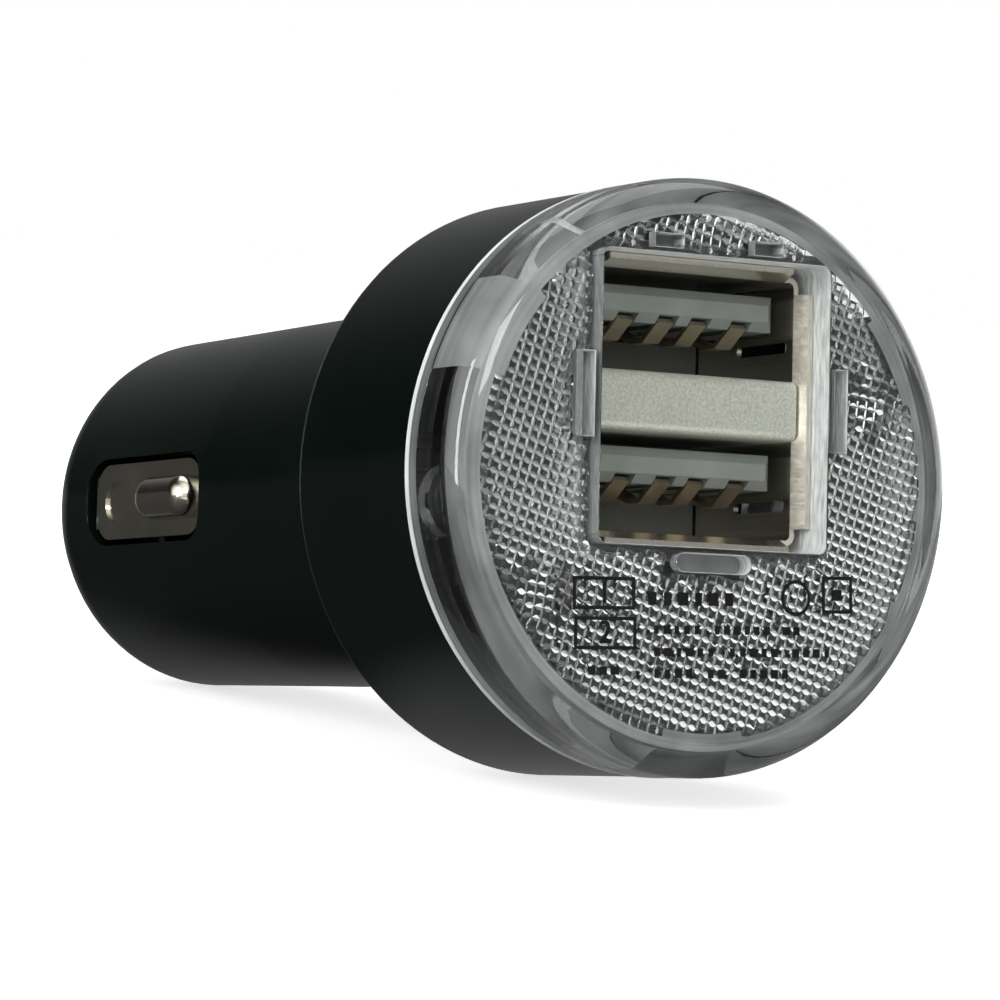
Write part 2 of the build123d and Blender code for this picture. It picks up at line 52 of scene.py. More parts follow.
def addNode(tree, kind, **values):
    node = tree.nodes.new(kind)
    for name, value in values.items():
        setattr(node, name, value)
    return node


def setInputs(node, **values):
    for name, value in values.items():
        node.inputs[name.replace("_", " ")].default_value = value
    return node


def calc(tree, operation, first, second=None):
    node = addNode(tree, "ShaderNodeMath", operation=operation)
    for socket, value in zip(node.inputs, (first, second)):
        if value is None:
            continue
        if isinstance(value, (int, float)):
            socket.default_value = value
        else:
            tree.links.new(value, socket)
    return node.outputs[0]


def reachFrom(tree, across, up, middle=(0.0, 0.0)):
    x = calc(tree, "SUBTRACT", across, middle[0])
    z = calc(tree, "SUBTRACT", up, middle[1])
    return calc(tree, "SQRT", calc(tree, "ADD", calc(tree, "MULTIPLY", x, x), calc(tree, "MULTIPLY", z, z)))


def fade(tree, value, start, end, low, high):
    node = addNode(tree, "ShaderNodeMapRange", interpolation_type="SMOOTHSTEP")
    tree.links.new(value, node.inputs["Value"])
    for label, amount in (("From Min", start), ("From Max", end), ("To Min", low), ("To Max", high)):
        node.inputs[label].default_value = amount
    return node.outputs["Result"]


def newGroup(name, inputs, outputs, kind="ShaderNodeTree"):
    tree = bpy.data.node_groups.new(name, kind)
    for label, value in inputs.items():
        shape = "NodeSocketInt" if isinstance(value, int) else "NodeSocketFloat"
        socket = tree.interface.new_socket(name=label, in_out="INPUT", socket_type=shape)
        socket.default_value = value
    for label, shape in outputs.items():
        tree.interface.new_socket(name=label, in_out="OUTPUT", socket_type=shape)
    return tree, tree.nodes.new("NodeGroupInput"), tree.nodes.new("NodeGroupOutput")


def newObject(name, data):
    thing = bpy.data.objects.new(name, data)
    bpy.context.scene.collection.objects.link(thing)
    return thing


# Shared surface effects

noiseEnds = (0.3, 0.7)  # the part of a noise's range that sets the roughness
rampEnds = (0.32, 0.68)  # and the part between the two tones


def spreadRoughness(tree, given, result, value):
    spread = addNode(tree, "ShaderNodeMapRange")
    spread.inputs["From Min"].default_value, spread.inputs["From Max"].default_value = noiseEnds
    tree.links.new(value, spread.inputs["Value"])
    tree.links.new(given.outputs["Low"], spread.inputs["To Min"])
    tree.links.new(given.outputs["High"], spread.inputs["To Max"])
    tree.links.new(spread.outputs["Result"], result.inputs["Roughness"])


def makeMouldGrain():
    tree, given, result = newGroup(
        "mouldGrain",
        {"Grain Scale": 900.0, "Cloud Scale": 60.0, "Low": 0.15, "High": 0.3},
        {"Roughness": "NodeSocketFloat", "Height": "NodeSocketFloat", "Cloud": "NodeSocketFloat"},
    )
    place = addNode(tree, "ShaderNodeTexCoord")
    grain = setInputs(addNode(tree, "ShaderNodeTexNoise"), Detail=3.0)
    cloud = setInputs(addNode(tree, "ShaderNodeTexNoise"), Detail=4.0, Roughness=0.6)
    for noise, label in ((grain, "Grain Scale"), (cloud, "Cloud Scale")):
        tree.links.new(place.outputs["Object"], noise.inputs["Vector"])
        tree.links.new(given.outputs[label], noise.inputs["Scale"])
    spreadRoughness(tree, given, result, cloud.outputs["Fac"])
    tree.links.new(grain.outputs["Fac"], result.inputs["Height"])
    tree.links.new(cloud.outputs["Fac"], result.inputs["Cloud"])
    return tree


def makeDrawnLines():
    tree, given, result = newGroup(
        "drawnLines",
        {"Across": 1500.0, "Along": 60.0, "Upright": 1500.0, "Low": 0.2, "High": 0.4},
        {"Roughness": "NodeSocketFloat", "Height": "NodeSocketFloat", "Streak": "NodeSocketFloat"},
    )
    place = addNode(tree, "ShaderNodeTexCoord")
    stretch = addNode(tree, "ShaderNodeVectorMath", operation="MULTIPLY")
    sizes = addNode(tree, "ShaderNodeCombineXYZ")
    for label, axis in (("Across", "X"), ("Along", "Y"), ("Upright", "Z")):
        tree.links.new(given.outputs[label], sizes.inputs[axis])
    tree.links.new(place.outputs["Object"], stretch.inputs[0])
    tree.links.new(sizes.outputs[0], stretch.inputs[1])
    noise = setInputs(addNode(tree, "ShaderNodeTexNoise"), Scale=1.0, Detail=3.0)
    tree.links.new(stretch.outputs[0], noise.inputs["Vector"])
    spreadRoughness(tree, given, result, noise.outputs["Fac"])
    tree.links.new(noise.outputs["Fac"], result.inputs["Height"])
    tree.links.new(noise.outputs["Fac"], result.inputs["Streak"])
    return tree


def makeTurnedLines():
    tree, given, result = newGroup(
        "turnedLines",
        {"Radial": 2600.0, "Along": 900.0, "Cloud Scale": 260.0, "Low": 0.4, "High": 0.6},
        {"Roughness": "NodeSocketFloat", "Height": "NodeSocketFloat", "Streak": "NodeSocketFloat"},
    )
    place = addNode(tree, "ShaderNodeTexCoord")
    split = addNode(tree, "ShaderNodeSeparateXYZ")
    tree.links.new(place.outputs["Object"], split.inputs[0])
    reach = reachFrom(tree, split.outputs["X"], split.outputs["Z"])
    lined = addNode(tree, "ShaderNodeCombineXYZ")
    tree.links.new(calc(tree, "MULTIPLY", reach, given.outputs["Radial"]), lined.inputs["X"])
    tree.links.new(calc(tree, "MULTIPLY", split.outputs["Y"], given.outputs["Along"]), lined.inputs["Y"])
    lines = setInputs(addNode(tree, "ShaderNodeTexNoise"), Scale=1.0, Detail=2.0)
    tree.links.new(lined.outputs[0], lines.inputs["Vector"])
    cloud = setInputs(addNode(tree, "ShaderNodeTexNoise"), Detail=3.0)
    tree.links.new(place.outputs["Object"], cloud.inputs["Vector"])
    tree.links.new(given.outputs["Cloud Scale"], cloud.inputs["Scale"])
    both = calc(tree, "MULTIPLY", calc(tree, "ADD", lines.outputs["Fac"], cloud.outputs["Fac"]), 0.5)
    spreadRoughness(tree, given, result, both)
    tree.links.new(lines.outputs["Fac"], result.inputs["Height"])
    tree.links.new(both, result.inputs["Streak"])
    return tree


mouldGrain = makeMouldGrain()
drawnLines = makeDrawnLines()
turnedLines = makeTurnedLines()


def newMaterial(name, effect, effectValues, tones, bumpDepth, tint="Cloud", **shaderValues):
    material = bpy.data.materials.new(name)
    material.use_nodes = True
    tree = material.node_tree
    shader = tree.nodes["Principled BSDF"]
    group = addNode(tree, "ShaderNodeGroup", node_tree=effect)
    for label, value in effectValues.items():
        group.inputs[label].default_value = value
    ramp = addNode(tree, "ShaderNodeValToRGB")
    for element, position, tone in zip(ramp.color_ramp.elements, rampEnds, tones):
        element.position = position
        element.color = (*tone, 1)
    tree.links.new(group.outputs[tint], ramp.inputs["Fac"])
    tree.links.new(ramp.outputs["Color"], shader.inputs["Base Color"])
    tree.links.new(group.outputs["Roughness"], shader.inputs["Roughness"])
    if bumpDepth:
        bump = addNode(tree, "ShaderNodeBump")
        bump.inputs["Strength"].default_value = 1.0
        bump.inputs["Distance"].default_value = bumpDepth
        tree.links.new(group.outputs["Height"], bump.inputs["Height"])
        tree.links.new(bump.outputs["Normal"], shader.inputs["Normal"])
    for label, value in shaderValues.items():
        shader.inputs[label.replace("_", " ")].default_value = value
    return material


def dress(material, *names):
    for name in names:
        slots = nodes[name].data.materials
        slots.clear()
        slots.append(material)


# Finishes

finishes = {
    "blackMoulding": newMaterial(
        "blackMoulding", mouldGrain,
        {"Grain Scale": 2600.0, "Cloud Scale": 90.0, "Low": 0.13, "High": 0.2},
        ((0.0011, 0.0031, 0.0021), (0.0018, 0.0044, 0.0031)), 0.000002,
        IOR=1.46, Specular_Tint=(0.84, 1.0, 0.9, 1.0),
    ),
    "clearLens": newMaterial(
        "clearLens", mouldGrain,
        {"Grain Scale": 700.0, "Cloud Scale": 160.0, "Low": 0.004, "High": 0.022},
        ((0.86, 0.88, 0.875), (0.93, 0.95, 0.94)), 0.0, IOR=1.49, Transmission_Weight=1.0,
    ),
    "prismGlass": newMaterial(
        "prismGlass", mouldGrain,
        {"Grain Scale": 1200.0, "Cloud Scale": 200.0, "Low": 0.002, "High": 0.02},
        ((0.88, 0.9, 0.89), (0.95, 0.96, 0.95)), 0.0, IOR=1.49, Transmission_Weight=1.0,
    ),
    "platedShell": newMaterial(
        "platedShell", drawnLines,
        {"Across": 5200.0, "Along": 160.0, "Upright": 5200.0, "Low": 0.2, "High": 0.27},
        ((0.68, 0.645, 0.565), (0.74, 0.705, 0.625)), 0.0000001, tint="Streak", Metallic=1.0,
    ),
    "sandyDivider": newMaterial(
        "sandyDivider", mouldGrain,
        {"Grain Scale": 6400.0, "Cloud Scale": 420.0, "Low": 0.4, "High": 0.55},
        ((0.35, 0.362, 0.31), (0.5, 0.515, 0.445)), 0.00001, tint="Height", Metallic=0.5,
    ),
    "tonguePlastic": newMaterial(
        "tonguePlastic", mouldGrain,
        {"Grain Scale": 1400.0, "Cloud Scale": 300.0, "Low": 0.3, "High": 0.45},
        ((0.13, 0.145, 0.13), (0.17, 0.187, 0.169)), 0.000003,
    ),
    "springBronze": newMaterial(
        "springBronze", drawnLines,
        {"Across": 1800.0, "Along": 150.0, "Upright": 1800.0, "Low": 0.3, "High": 0.36},
        ((0.57, 0.49, 0.375), (0.62, 0.54, 0.42)), 0.0000001, tint="Streak", Metallic=1.0,
    ),
    "nickelPlate": newMaterial(
        "nickelPlate", mouldGrain,
        {"Grain Scale": 900.0, "Cloud Scale": 220.0, "Low": 0.12, "High": 0.22},
        ((0.56, 0.54, 0.45), (0.7, 0.68, 0.58)), 0.000001, Metallic=1.0,
    ),
    "springSteel": newMaterial(
        "springSteel", drawnLines,
        {"Across": 2600.0, "Along": 500.0, "Upright": 2600.0, "Low": 0.2, "High": 0.36},
        ((0.5, 0.5, 0.5), (0.68, 0.68, 0.67)), 0.000003, tint="Streak", Metallic=1.0,
    ),
    "boardLacquer": newMaterial(
        "boardLacquer", mouldGrain,
        {"Grain Scale": 1100.0, "Cloud Scale": 240.0, "Low": 0.3, "High": 0.42},
        ((0.006, 0.011, 0.009), (0.012, 0.02, 0.016)), 0.000006,
    ),
    "darkFerrite": newMaterial(
        "darkFerrite", mouldGrain,
        {"Grain Scale": 2200.0, "Cloud Scale": 300.0, "Low": 0.5, "High": 0.65},
        ((0.03, 0.03, 0.032), (0.06, 0.06, 0.062)), 0.00001,
    ),
    "copperWire": newMaterial(
        "copperWire", drawnLines,
        {"Across": 30.0, "Along": 30.0, "Upright": 4000.0, "Low": 0.25, "High": 0.4},
        ((0.42, 0.16, 0.06), (0.66, 0.29, 0.12)), 0.00004, tint="Streak", Metallic=1.0,
    ),
    "canAluminium": newMaterial(
        "canAluminium", drawnLines,
        {"Across": 500.0, "Along": 500.0, "Upright": 60.0, "Low": 0.22, "High": 0.35},
        ((0.6, 0.6, 0.62), (0.76, 0.76, 0.78)), 0.000003, tint="Streak", Metallic=1.0,
    ),
    "chipEpoxy": newMaterial(
        "chipEpoxy", mouldGrain,
        {"Grain Scale": 2600.0, "Cloud Scale": 400.0, "Low": 0.5, "High": 0.62},
        ((0.012, 0.012, 0.013), (0.022, 0.022, 0.024)), 0.000008,
    ),
    "resistorGlaze": newMaterial(
        "resistorGlaze", mouldGrain,
        {"Grain Scale": 1800.0, "Cloud Scale": 700.0, "Low": 0.3, "High": 0.5},
        ((0.02, 0.02, 0.024), (0.05, 0.05, 0.055)), 0.000005,
    ),
    "lampEpoxy": newMaterial(
        "lampEpoxy", mouldGrain,
        {"Grain Scale": 800.0, "Cloud Scale": 200.0, "Low": 0.08, "High": 0.16},
        ((0.3, 0.32, 0.33), (0.4, 0.42, 0.43)), 0.000002, IOR=1.52, Transmission_Weight=0.9,
    ),
    # frost of the lens joint; its light concentric streaks are partly painted reflection arcs on the rim
    "frostWithPaintedArcs": newMaterial(
        "frostWithPaintedArcs", turnedLines,
        {"Radial": 3200.0, "Along": 1400.0, "Cloud Scale": 240.0, "Low": 0.45, "High": 0.65},
        ((0.1, 0.108, 0.105), (0.56, 0.58, 0.57)), 0.000004, tint="Streak",
    ),
    # pale frost of the window sleeve, and the painted highlight of the seam ring
    "paleFrostAndGlint": newMaterial(
        "paleFrostAndGlint", turnedLines,
        {"Radial": 900.0, "Along": 2400.0, "Cloud Scale": 420.0, "Low": 0.25, "High": 0.45},
        ((0.6, 0.62, 0.61), (0.86, 0.88, 0.87)), 0.000004, tint="Streak",
    ),
    "wellFrost": newMaterial(
        "wellFrost", drawnLines,
        {"Across": 900.0, "Along": 5200.0, "Upright": 900.0, "Low": 0.4, "High": 0.6},
        ((0.34, 0.355, 0.35), (0.62, 0.64, 0.63)), 0.000004, tint="Streak",
    ),
    "recessFrost": newMaterial(
        "recessFrost", mouldGrain,
        {"Grain Scale": 2400.0, "Cloud Scale": 500.0, "Low": 0.4, "High": 0.6},
        ((0.12, 0.125, 0.125), (0.2, 0.208, 0.205)), 0.000004,
    ),
    "printInk": newMaterial(
        "printInk", mouldGrain,
        {"Grain Scale": 3000.0, "Cloud Scale": 900.0, "Low": 0.45, "High": 0.6},
        ((0.003, 0.003, 0.0032), (0.007, 0.007, 0.0075)), 0.000004, Specular_IOR_Level=0.15,
    ),
}
contactNames = [f"{row}_contact_{number}" for row in ("upper", "lower") for number in (1, 2, 3, 4)]
dress(finishes["blackMoulding"], "housing")
dress(finishes["clearLens"], "lens_cap")
dress(finishes["platedShell"], "usb_shell", "usb_rear_cover")
dress(finishes["sandyDivider"], "usb_divider")
dress(finishes["tonguePlastic"], "usb_insulator")
dress(finishes["springBronze"], *contactNames)
dress(finishes["nickelPlate"], "tip_contact", "side_contact_left", "side_contact_right")
dress(finishes["springSteel"], "spring_seat", "tip_spring")
dress(finishes["boardLacquer"], "circuit_board")
dress(finishes["darkFerrite"], "inductor_core")
dress(finishes["copperWire"], "inductor_winding")
dress(finishes["canAluminium"], "input_capacitor", "output_capacitor")
dress(finishes["chipEpoxy"], "converter_chip", "diode")
dress(finishes["resistorGlaze"], "chip_resistor_1", "chip_resistor_2", "chip_resistor_3")
dress(finishes["lampEpoxy"], "indicator_led_left", "indicator_led_right")
print("finishes made:", len(finishes))


# Pieces made by node trees become plain meshes

def bakeTree(name, tree, values):
    holder = newObject(name, bpy.data.meshes.new(name))
    modifier = holder.modifiers.new("shape", "NODES")
    modifier.node_group = tree
    for item in tree.interface.items_tree:
        if item.in_out == "INPUT" and item.name in values:
            modifier[item.identifier] = values[item.name]
    bpy.context.view_layer.update()
    shaped = holder.evaluated_get(bpy.context.evaluated_depsgraph_get())
    mesh = bpy.data.meshes.new_from_object(shaped)
    holder.modifiers.clear()
    holder.data = mesh
    mesh.name = name
    return holder


def layInPlace(tree, mesh, turn, along, material, result):
    lay = addNode(tree, "GeometryNodeTransform")  # stands the mesh up on the plug's axis, in metres
    lay.inputs["Rotation"].default_value = (turn, 0, 0)
    lay.inputs["Scale"].default_value = (mm, mm, mm)
    place = addNode(tree, "ShaderNodeCombineXYZ")
    tree.links.new(calc(tree, "MULTIPLY", along, mm), place.inputs["Y"])
    tree.links.new(place.outputs[0], lay.inputs["Translation"])
    tree.links.new(mesh, lay.inputs["Geometry"])
    real = addNode(tree, "GeometryNodeRealizeInstances")
    tree.links.new(lay.outputs["Geometry"], real.inputs["Geometry"])
    paint = setInputs(addNode(tree, "GeometryNodeSetMaterial"), Material=material)
    tree.links.new(real.outputs["Geometry"], paint.inputs["Geometry"])
    tree.links.new(paint.outputs["Geometry"], result)


# Prism sheet on the inside of the lens face: square pits with sloped sides between thin ridges

prism = {
    "pitch": 0.56, "flatShare": 0.42, "depth": 0.16, "skin": 0.02, "turn": -16.6, "patchTwist": 9.0,
    "fieldRadius": 13.35, "innerFace": -15.0, "gap": 0.004, "count": 50, "weld": 0.0005,
    "clearBoxes": (  # middle x, middle z, width, height left without pits
        (0.0, 3.75, 14.3, 15.1),
        (-3.05, 11.74, 1.9, 0.8),
        (3.05, 11.74, 1.9, 0.8),
        (0.0, -4.41, 4.7, 1.1),
        (-7.75, 3.75, 0.9, 4.4),
        (7.75, 3.75, 0.9, 4.4),
    ),
    "hookAngles": (30.0, 150.0, 270.0), "hookRadius": 13.4, "hookDepth": 0.7, "hookWidth": 4.4,
    "patches": (  # x, z, where the turn is full, where it ends
        (-0.2, 12.0, 0.7, 1.3),
        (9.85, 4.15, 1.1, 2.0),
        (-10.0, -6.3, 1.0, 1.9),
    ),
}


def insideBox(tree, across, up, middle, sizes, turn=0.0):
    x = calc(tree, "SUBTRACT", across, middle[0])
    z = calc(tree, "SUBTRACT", up, middle[1])
    if turn:
        c, s = math.cos(math.radians(turn)), math.sin(math.radians(turn))
        along = calc(tree, "ADD", calc(tree, "MULTIPLY", x, c), calc(tree, "MULTIPLY", z, s))
        aside = calc(tree, "SUBTRACT", calc(tree, "MULTIPLY", z, c), calc(tree, "MULTIPLY", x, s))
        x, z = along, aside
    inX = calc(tree, "LESS_THAN", calc(tree, "ABSOLUTE", x), sizes[0] / 2)
    inZ = calc(tree, "LESS_THAN", calc(tree, "ABSOLUTE", z), sizes[1] / 2)
    return calc(tree, "MULTIPLY", inX, inZ)


def pushOut(tree, across, up, middle, sizes):
    x = calc(tree, "SUBTRACT", across, middle[0])
    z = calc(tree, "SUBTRACT", up, middle[1])
    depthX = calc(tree, "SUBTRACT", sizes[0] / 2, calc(tree, "ABSOLUTE", x))
    depthZ = calc(tree, "SUBTRACT", sizes[1] / 2, calc(tree, "ABSOLUTE", z))
    inside = insideBox(tree, across, up, middle, sizes)
    sideways = calc(tree, "MULTIPLY", inside, calc(tree, "LESS_THAN", depthX, depthZ))
    upright = calc(tree, "SUBTRACT", inside, sideways)
    moveX = calc(tree, "MULTIPLY", calc(tree, "SIGN", x), calc(tree, "MULTIPLY", depthX, sideways))
    moveZ = calc(tree, "MULTIPLY", calc(tree, "SIGN", z), calc(tree, "MULTIPLY", depthZ, upright))
    return calc(tree, "ADD", across, moveX), calc(tree, "ADD", up, moveZ)


def splitPosition(tree):
    point = addNode(tree, "GeometryNodeInputPosition")
    split = addNode(tree, "ShaderNodeSeparateXYZ")
    tree.links.new(point.outputs[0], split.inputs[0])
    return split.outputs["X"], split.outputs["Y"]


prismSizes = {
    "Pitch": prism["pitch"], "Count": prism["count"], "Flat Share": prism["flatShare"],
    "Depth": prism["depth"], "Skin": prism["skin"], "Field Radius": prism["fieldRadius"],
    "Turn": math.radians(prism["turn"]), "Patch Twist": math.radians(prism["patchTwist"]),
    "Base": prism["innerFace"] + prism["gap"],
}


def makePrismTree():
    tree, given, result = newGroup(
        "prismSheet", prismSizes, {"Sheet": "NodeSocketGeometry"}, "GeometryNodeTree")
    link = tree.links.new
    across, up = splitPosition(tree)
    blocked = calc(tree, "ADD", 0.0, 0.0)
    for x, z, width, height in prism["clearBoxes"]:
        blocked = calc(tree, "MAXIMUM", blocked, insideBox(tree, across, up, (x, z), (width, height)))
    for angle in prism["hookAngles"]:
        turn = math.radians(angle)
        middle = (prism["hookRadius"] * math.cos(turn), prism["hookRadius"] * math.sin(turn))
        hook = insideBox(tree, across, up, middle, (prism["hookDepth"], prism["hookWidth"]), angle)
        blocked = calc(tree, "MAXIMUM", blocked, hook)
    inField = calc(tree, "LESS_THAN", reachFrom(tree, across, up), given.outputs["Field Radius"])
    free = calc(tree, "MULTIPLY", inField, calc(tree, "SUBTRACT", 1.0, blocked))
    # In three small spots the grid is turned about the spot's middle
    twistX, twistZ = across, up
    for x, z, full, end in prism["patches"]:
        left = calc(tree, "SUBTRACT", end, reachFrom(tree, across, up, (x, z)))
        share = calc(tree, "MINIMUM", 1.0, calc(tree, "DIVIDE", left, end - full))
        angle = calc(tree, "MULTIPLY", calc(tree, "MAXIMUM", 0.0, share), given.outputs["Patch Twist"])
        c, s = calc(tree, "COSINE", angle), calc(tree, "SINE", angle)
        dx, dz = calc(tree, "SUBTRACT", twistX, x), calc(tree, "SUBTRACT", twistZ, z)
        along = calc(tree, "SUBTRACT", calc(tree, "MULTIPLY", dx, c), calc(tree, "MULTIPLY", dz, s))
        aside = calc(tree, "ADD", calc(tree, "MULTIPLY", dx, s), calc(tree, "MULTIPLY", dz, c))
        twistX, twistZ = calc(tree, "ADD", x, along), calc(tree, "ADD", z, aside)
    spots = addNode(tree, "ShaderNodeCombineXYZ")
    link(twistX, spots.inputs["X"])
    link(twistZ, spots.inputs["Y"])
    # Corners past the field's edge or in a clear box are drawn to its outline
    reach = reachFrom(tree, across, up)
    pull = calc(tree, "MINIMUM", 1.0, calc(tree, "DIVIDE", given.outputs["Field Radius"], reach))
    trimX, trimZ = calc(tree, "MULTIPLY", across, pull), calc(tree, "MULTIPLY", up, pull)
    for x, z, width, height in prism["clearBoxes"]:
        trimX, trimZ = pushOut(tree, trimX, trimZ, (x, z), (width, height))
    edge = addNode(tree, "ShaderNodeCombineXYZ")
    link(trimX, edge.inputs["X"])
    link(trimZ, edge.inputs["Y"])
    side = calc(tree, "MULTIPLY", given.outputs["Pitch"], given.outputs["Count"])
    corners = calc(tree, "ADD", given.outputs["Count"], 1.0)
    back = addNode(tree, "ShaderNodeCombineXYZ")
    thickness = calc(tree, "ADD", given.outputs["Depth"], given.outputs["Skin"])
    link(calc(tree, "MULTIPLY", thickness, -1.0), back.inputs["Z"])
    forth = addNode(tree, "ShaderNodeCombineXYZ")
    link(given.outputs["Depth"], forth.inputs["Z"])
    join = addNode(tree, "GeometryNodeJoinGeometry")
    grid = addNode(tree, "GeometryNodeMeshGrid")
    for axis in "XY":
        link(side, grid.inputs[f"Size {axis}"])
        link(corners, grid.inputs[f"Vertices {axis}"])
    turn = addNode(tree, "ShaderNodeCombineXYZ")
    link(given.outputs["Turn"], turn.inputs["Z"])
    turned = addNode(tree, "GeometryNodeTransform")
    link(grid.outputs["Mesh"], turned.inputs["Geometry"])
    link(turn.outputs[0], turned.inputs["Rotation"])
    twisted = addNode(tree, "GeometryNodeSetPosition")
    link(turned.outputs["Geometry"], twisted.inputs["Geometry"])
    link(spots.outputs[0], twisted.inputs["Position"])
    cut = addNode(tree, "GeometryNodeDeleteGeometry", domain="FACE")
    link(twisted.outputs["Geometry"], cut.inputs["Geometry"])
    link(calc(tree, "LESS_THAN", free, 0.5), cut.inputs["Selection"])
    trim = addNode(tree, "GeometryNodeSetPosition")
    link(cut.outputs["Geometry"], trim.inputs["Geometry"])
    link(edge.outputs[0], trim.inputs["Position"])
    flipped = addNode(tree, "GeometryNodeFlipFaces")
    link(trim.outputs["Geometry"], flipped.inputs["Mesh"])
    slab = addNode(tree, "GeometryNodeExtrudeMesh", mode="FACES")
    slab.inputs["Individual"].default_value = False
    link(flipped.outputs["Mesh"], slab.inputs["Mesh"])
    link(back.outputs[0], slab.inputs["Offset"])
    pits = addNode(tree, "GeometryNodeExtrudeMesh", mode="FACES")
    link(slab.outputs["Mesh"], pits.inputs["Mesh"])
    link(slab.outputs["Top"], pits.inputs["Selection"])
    link(forth.outputs[0], pits.inputs["Offset"])
    floors = addNode(tree, "GeometryNodeScaleElements", domain="FACE")
    link(pits.outputs["Mesh"], floors.inputs["Geometry"])
    link(pits.outputs["Top"], floors.inputs["Selection"])
    link(given.outputs["Flat Share"], floors.inputs["Scale"])
    link(trim.outputs["Geometry"], join.inputs[0])
    link(floors.outputs["Geometry"], join.inputs[0])
    weld = setInputs(addNode(tree, "GeometryNodeMergeByDistance"), Distance=prism["weld"])
    link(join.outputs[0], weld.inputs["Geometry"])
    flat = setInputs(addNode(tree, "GeometryNodeSetShadeSmooth"), Shade_Smooth=False)
    link(weld.outputs["Geometry"], flat.inputs["Geometry"])
    layInPlace(
        tree, flat.outputs["Geometry"], math.pi / 2, given.outputs["Base"],
        finishes["prismGlass"], result.inputs["Sheet"])
    return tree


prismSheet = bakeTree("prism_sheet", makePrismTree(), prismSizes)
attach(prismSheet, "body")
print("prism sheet faces:", len(prismSheet.data.polygons))


# Coil spring that the tip presses on, built at one fixed length in place of the model's tip spring

coil = {
    "radius": 2.4, "wire": 0.6, "turns": 5.5, "start": 27.3, "length": 7.3, "seat": 26.95, "pressed": 0.625,
    "stepsPerTurn": 40, "wireSides": 14,
}
coilSizes = {
    "Radius": coil["radius"], "Wire": coil["wire"], "Turns": coil["turns"],
    "Length": coil["length"], "Start": coil["start"],
}


def makeCoilTree():
    tree, given, result = newGroup(
        "coilSpring", coilSizes, {"Coil": "NodeSocketGeometry"}, "GeometryNodeTree")
    link = tree.links.new
    spiral = setInputs(addNode(tree, "GeometryNodeCurveSpiral"), Resolution=coil["stepsPerTurn"])
    link(given.outputs["Turns"], spiral.inputs["Rotations"])
    link(given.outputs["Radius"], spiral.inputs["Start Radius"])
    link(given.outputs["Radius"], spiral.inputs["End Radius"])
    link(given.outputs["Length"], spiral.inputs["Height"])
    wire = setInputs(addNode(tree, "GeometryNodeCurvePrimitiveCircle"), Resolution=coil["wireSides"])
    link(calc(tree, "MULTIPLY", given.outputs["Wire"], 0.5), wire.inputs["Radius"])
    tube = setInputs(addNode(tree, "GeometryNodeCurveToMesh"), Fill_Caps=True)
    link(spiral.outputs["Curve"], tube.inputs["Curve"])
    link(wire.outputs["Curve"], tube.inputs["Profile Curve"])
    layInPlace(
        tree, tube.outputs["Mesh"], -math.pi / 2, given.outputs["Start"],
        finishes["springSteel"], result.inputs["Coil"])
    return tree


coilSpring = bakeTree("coil_spring", makeCoilTree(), coilSizes)
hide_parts("tip_spring")
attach(coilSpring, "body")
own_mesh(coilSpring)
print("coil spring made")


# Closed shapes turned about the plug's axis or standing on its face

def turnRing(shape, profile, start=0.0, span=360.0, steps=180):
    whole = span == 360.0
    rows = []
    for step in range(steps if whole else steps + 1):
        angle = math.radians(start + span * step / steps)
        c, s = math.cos(angle) * mm, math.sin(angle) * mm
        rows.append([shape.verts.new((r * c, y * mm, r * s)) for r, y in profile])
    count = len(profile)
    for step in range(steps):
        first, second = rows[step], rows[(step + 1) % len(rows)]
        for k in range(count):
            n = (k + 1) % count
            shape.faces.new((first[k], first[n], second[n], second[k]))
    if not whole:
        shape.faces.new(rows[0])
        shape.faces.new(rows[-1])


def raiseShape(shape, outer, front, back, inner=None):
    loops = [outer] if inner is None else [outer, inner]
    layers = []
    for y in (front, back):
        layers.append([[shape.verts.new((x * mm, y * mm, z * mm)) for x, z in loop] for loop in loops])
    count = len(outer)
    for k in range(count):
        n = (k + 1) % count
        for near, far in zip(*layers):
            shape.faces.new((near[k], near[n], far[n], far[k]))
        if inner is not None:
            for layer in layers:
                shape.faces.new((layer[0][k], layer[0][n], layer[1][n], layer[1][k]))
    if inner is None:
        for layer in layers:
            shape.faces.new(layer[0])


def finishShape(name, shape, material):
    bmesh.ops.recalc_face_normals(shape, faces=shape.faces)
    mesh = bpy.data.meshes.new(name)
    shape.to_mesh(mesh)
    shape.free()
    mesh.materials.append(material)
    return newObject(name, mesh)


# Frosted faces of the lens: where it is joined to the housing, its inner corner and the walls of its
# window; a pale ring at the seam is a painted highlight line

frost = {
    "jointFace": -11.2, "jointInner": 13.77, "jointOuter": 15.03, "bite": 0.006, "skin": 0.03,
    "cornerInner": 13.36, "cornerWall": 13.75, "cornerFace": prism["innerFace"], "cornerDepth": 0.45,
    "hookAngles": prism["hookAngles"], "hookInner": 12.98, "hookSpan": 21.0, "hookEnd": -11.3,
    "hookSteps": 24,
    # pale ring round the lens's rear edge: a painted highlight line along the seam
    "glintRadius": 15.26, "glintInner": 15.04, "glintLength": 0.34, "glintTaper": 0.15,
    "wellMiddle": 3.75, "wellWidth": 14.0, "wellHeight": 14.82, "wellCorner": 0.5,
    "wellFront": -16.2, "wellBack": -13.0, "wellWall": 0.55, "wellEnd": -12.3, "wellRoot": -14.95,
    "recessFront": -16.26, "recessFloor": -15.3,
    "recesses": (  # middle x, middle z, width, height, corner radius
        (-3.05, 11.735, 1.8, 0.75, 0.04),
        (3.05, 11.735, 1.8, 0.75, 0.04),
        (0.0, -4.41, 4.6, 1.0, 0.499),
        (-7.75, 3.75, 0.8, 4.3, 0.04),
        (7.75, 3.75, 0.8, 4.3, 0.04),
    ),
}


